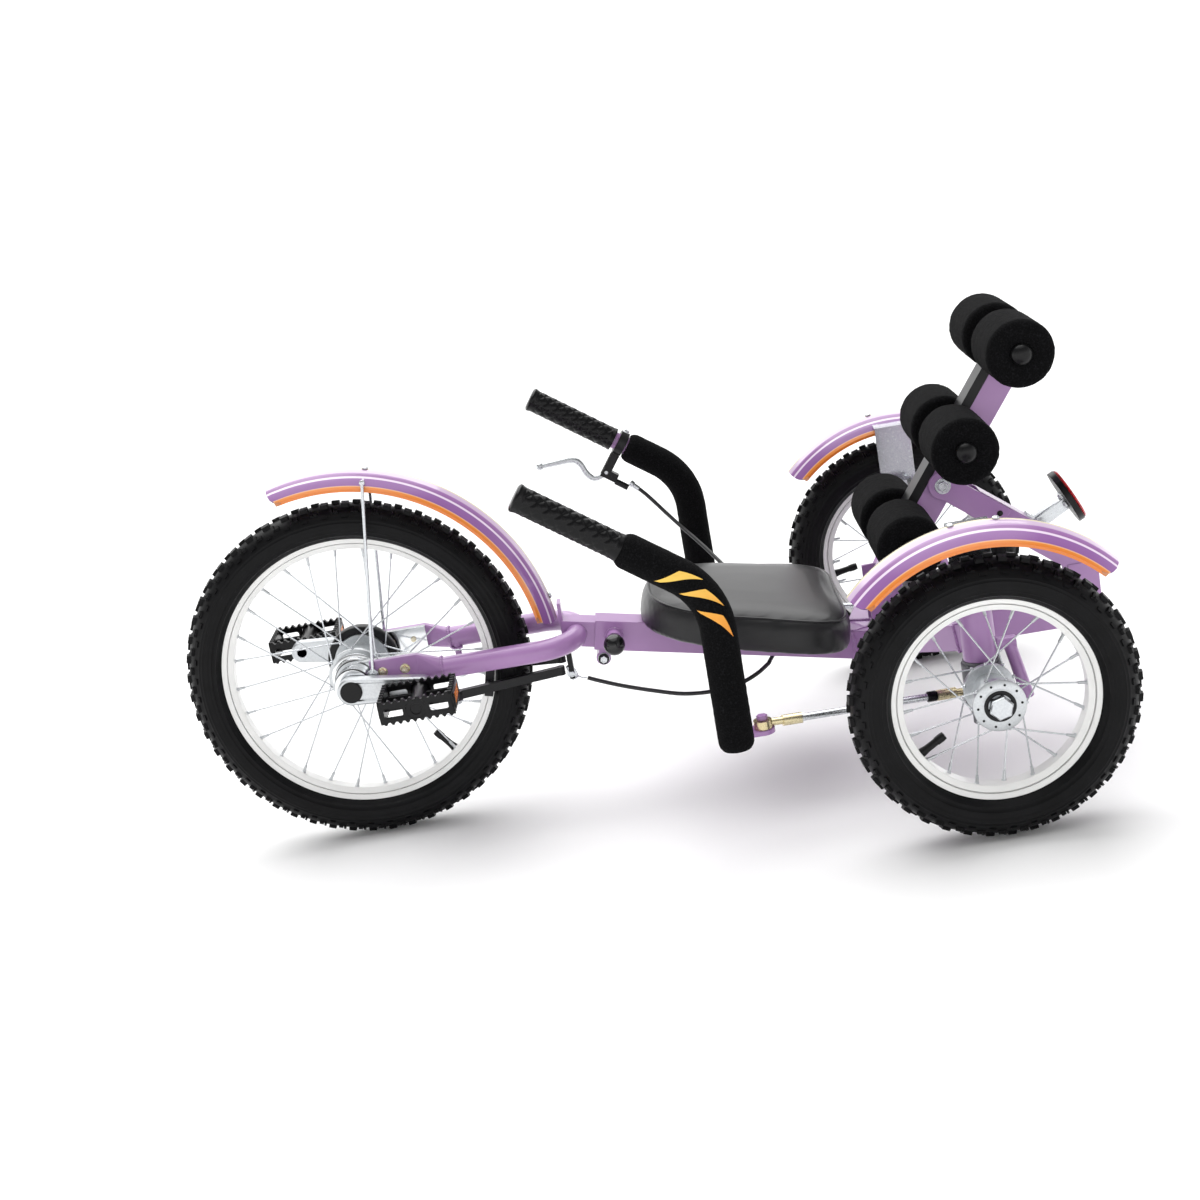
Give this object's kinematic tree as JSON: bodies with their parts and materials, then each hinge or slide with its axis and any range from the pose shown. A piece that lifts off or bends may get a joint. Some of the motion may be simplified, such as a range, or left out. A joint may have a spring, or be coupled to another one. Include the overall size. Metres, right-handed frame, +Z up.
{
  "type": "low rider tricycle",
  "caption": "Low pedal tricycle: pedals on the front hub, telescoping front frame, padded seat, roller backrest, side handles that steer the rear wheels.",
  "frame": {"origin": "middle of the footprint on the ground", "axes": "+X forward, +Y the rider's left, +Z up"},
  "size_m": [1.074, 0.6826, 0.5006],
  "materials": {
    "frame_paint": "gloss lavender paint",
    "vinyl": "charcoal vinyl, fine grain",
    "foam": "matte black closed-cell foam",
    "grip_rubber": "matte black, crossed pattern",
    "tyre_rubber": "black, knobbed tread",
    "rim_paint": "white paint",
    "bright_steel": "bright plated",
    "brass_plate": "yellow zinc plated",
    "dark_casting": "dark, lightly textured",
    "black_plastic": "smooth black",
    "black_matte": "satin black",
    "red_lens": "clear red, prism backed"
  },
  "bodies": {
    "main": {"main_frame": "frame_paint", "seat_base": "black_matte", "seat_pad": "vinyl", "backrest_post": "frame_paint", "backrest_strip": "black_matte", "roller_rods": "bright_steel", "roller_pads": "foam", "roller_caps": "black_plastic", "frame_bolts": "bright_steel", "reflector_bracket": "bright_steel", "reflector_housing": "black_plastic", "reflector_lens": "red_lens", "steering_pivot": "bright_steel", "brake_cable_rear": "black_matte", "brake_cable_front": "black_matte"},
    "lock": {"lock_knob": "black_plastic", "lock_pin": "bright_steel"},
    "front_frame": {"front_fork": "frame_paint", "front_fender": "frame_paint", "fender_stays": "bright_steel", "axle_bearings": "bright_steel", "fork_bolts": "brass_plate", "brake_hanger": "bright_steel"},
    "left_brake": {"left_brake_arm": "black_matte", "left_brake_pad": "grip_rubber"},
    "right_brake": {"right_brake_arm": "black_matte", "right_brake_pad": "grip_rubber"},
    "front_wheel": {"front_tyre": "tyre_rubber", "front_rim": "rim_paint", "front_spokes": "bright_steel", "front_hub": "bright_steel"},
    "crank": {"crank_axle": "bright_steel", "left_crank": "bright_steel", "right_crank": "bright_steel", "crank_caps": "black_plastic"},
    "left_pedal": {"left_pedal": "black_matte"},
    "right_pedal": {"right_pedal": "black_matte"},
    "steering": {"steering_bar": "frame_paint", "left_sleeve": "foam", "right_sleeve": "foam", "left_grip": "grip_rubber", "right_grip": "grip_rubber", "lever_bracket": "black_matte"},
    "lever": {"brake_lever": "bright_steel"},
    "left_tie": {"left_tie_rod": "bright_steel"},
    "right_tie": {"right_tie_rod": "bright_steel"},
    "left_upright": {"left_knuckle": "dark_casting", "left_fender_bracket": "bright_steel", "left_rear_fender": "frame_paint"},
    "right_upright": {"right_knuckle": "dark_casting", "right_fender_bracket": "bright_steel", "right_rear_fender": "frame_paint"},
    "left_wheel": {"left_rear_tyre": "tyre_rubber", "left_rear_rim": "rim_paint", "left_rear_spokes": "bright_steel", "left_rear_hub": "bright_steel"},
    "right_wheel": {"right_rear_tyre": "tyre_rubber", "right_rear_rim": "rim_paint", "right_rear_spokes": "bright_steel", "right_rear_hub": "bright_steel"}
  },
  "joints": [
    {"name": "frame_slide", "type": "slide", "parent": "main", "child": "front_frame", "axis": [0.9781, 0, 0.2079], "range_m": [0, 0.15], "deforming": ["brake_cable_front"]},
    {"name": "lock_pull", "type": "slide", "parent": "main", "child": "lock", "axis": [0, 1, 0], "range_m": [0, 0.01], "stiffness_N_per_m": 600, "springref_m": -0.004},
    {"name": "front_wheel_spin", "type": "hinge", "parent": "front_frame", "child": "front_wheel", "pos_m": [0.333, 0, 0.204], "axis": [0, 1, 0], "continuous": true},
    {"name": "crank_spin", "type": "hinge", "parent": "front_frame", "child": "crank", "pos_m": [0.333, 0, 0.204], "axis": [0, 1, 0], "continuous": true},
    {"name": "left_pedal_spin", "type": "hinge", "parent": "crank", "child": "left_pedal", "pos_m": [0.25344, 0.129, 0.19564], "axis": [0, 1, 0], "continuous": true},
    {"name": "right_pedal_spin", "type": "hinge", "parent": "crank", "child": "right_pedal", "pos_m": [0.41256, -0.129, 0.21236], "axis": [0, 1, 0], "continuous": true},
    {"name": "left_brake_swing", "type": "hinge", "parent": "front_frame", "child": "left_brake", "pos_m": [0.221, 0.052, 0.168], "axis": [0, 0, 1], "range_deg": [0, 2.5]},
    {"name": "right_brake_swing", "type": "hinge", "parent": "front_frame", "child": "right_brake", "pos_m": [0.221, -0.052, 0.168], "axis": [0, 0, 1], "range_deg": [-2.5, 0]},
    {"name": "steer", "type": "hinge", "parent": "main", "child": "steering", "pos_m": [-0.087, 0, 0.13], "axis": [0, 0, 1], "range_deg": [-7, 7], "deforming": ["brake_cable_rear"]},
    {"name": "lever_pull", "type": "hinge", "parent": "steering", "child": "lever", "pos_m": [0.01413, -0.28, 0.32756], "axis": [0, -1, 0], "range_deg": [0, 25], "stiffness_Nm_per_rad": 0.8, "springref_deg": -17.19},
    {"name": "left_tie_turn", "type": "hinge", "parent": "steering", "child": "left_tie", "pos_m": [-0.119, 0.22, 0.134], "axis": [0, 0, 1], "range_deg": [-8, 8]},
    {"name": "right_tie_turn", "type": "hinge", "parent": "steering", "child": "right_tie", "pos_m": [-0.119, -0.22, 0.134], "axis": [0, 0, 1], "range_deg": [-8, 8]},
    {"name": "left_kingpin", "type": "hinge", "parent": "main", "child": "left_upright", "pos_m": [-0.355, 0.24, 0.2], "axis": [0, 0, 1], "range_deg": [-22.1, 22.1]},
    {"name": "right_kingpin", "type": "hinge", "parent": "main", "child": "right_upright", "pos_m": [-0.355, -0.24, 0.2], "axis": [0, 0, 1], "range_deg": [-22.1, 22.1]},
    {"name": "left_wheel_spin", "type": "hinge", "parent": "left_upright", "child": "left_wheel", "pos_m": [-0.355, 0.3, 0.152], "axis": [0, 1, 0], "continuous": true},
    {"name": "right_wheel_spin", "type": "hinge", "parent": "right_upright", "child": "right_wheel", "pos_m": [-0.355, -0.3, 0.152], "axis": [0, 1, 0], "continuous": true}
  ],
  "couplings": [
    {"joint": "crank_spin", "follows": "front_wheel_spin", "ratio": 1},
    {"joint": "left_brake_swing", "follows": "lever_pull", "ratio": 0.1},
    {"joint": "right_brake_swing", "follows": "lever_pull", "ratio": -0.1},
    {"joint": "left_kingpin", "follows": "steer", "ratio": -3.143},
    {"joint": "right_kingpin", "follows": "steer", "ratio": -3.143},
    {"joint": "left_tie_turn", "follows": "steer", "ratio": -1.129},
    {"joint": "right_tie_turn", "follows": "steer", "ratio": -1.129}
  ]
}
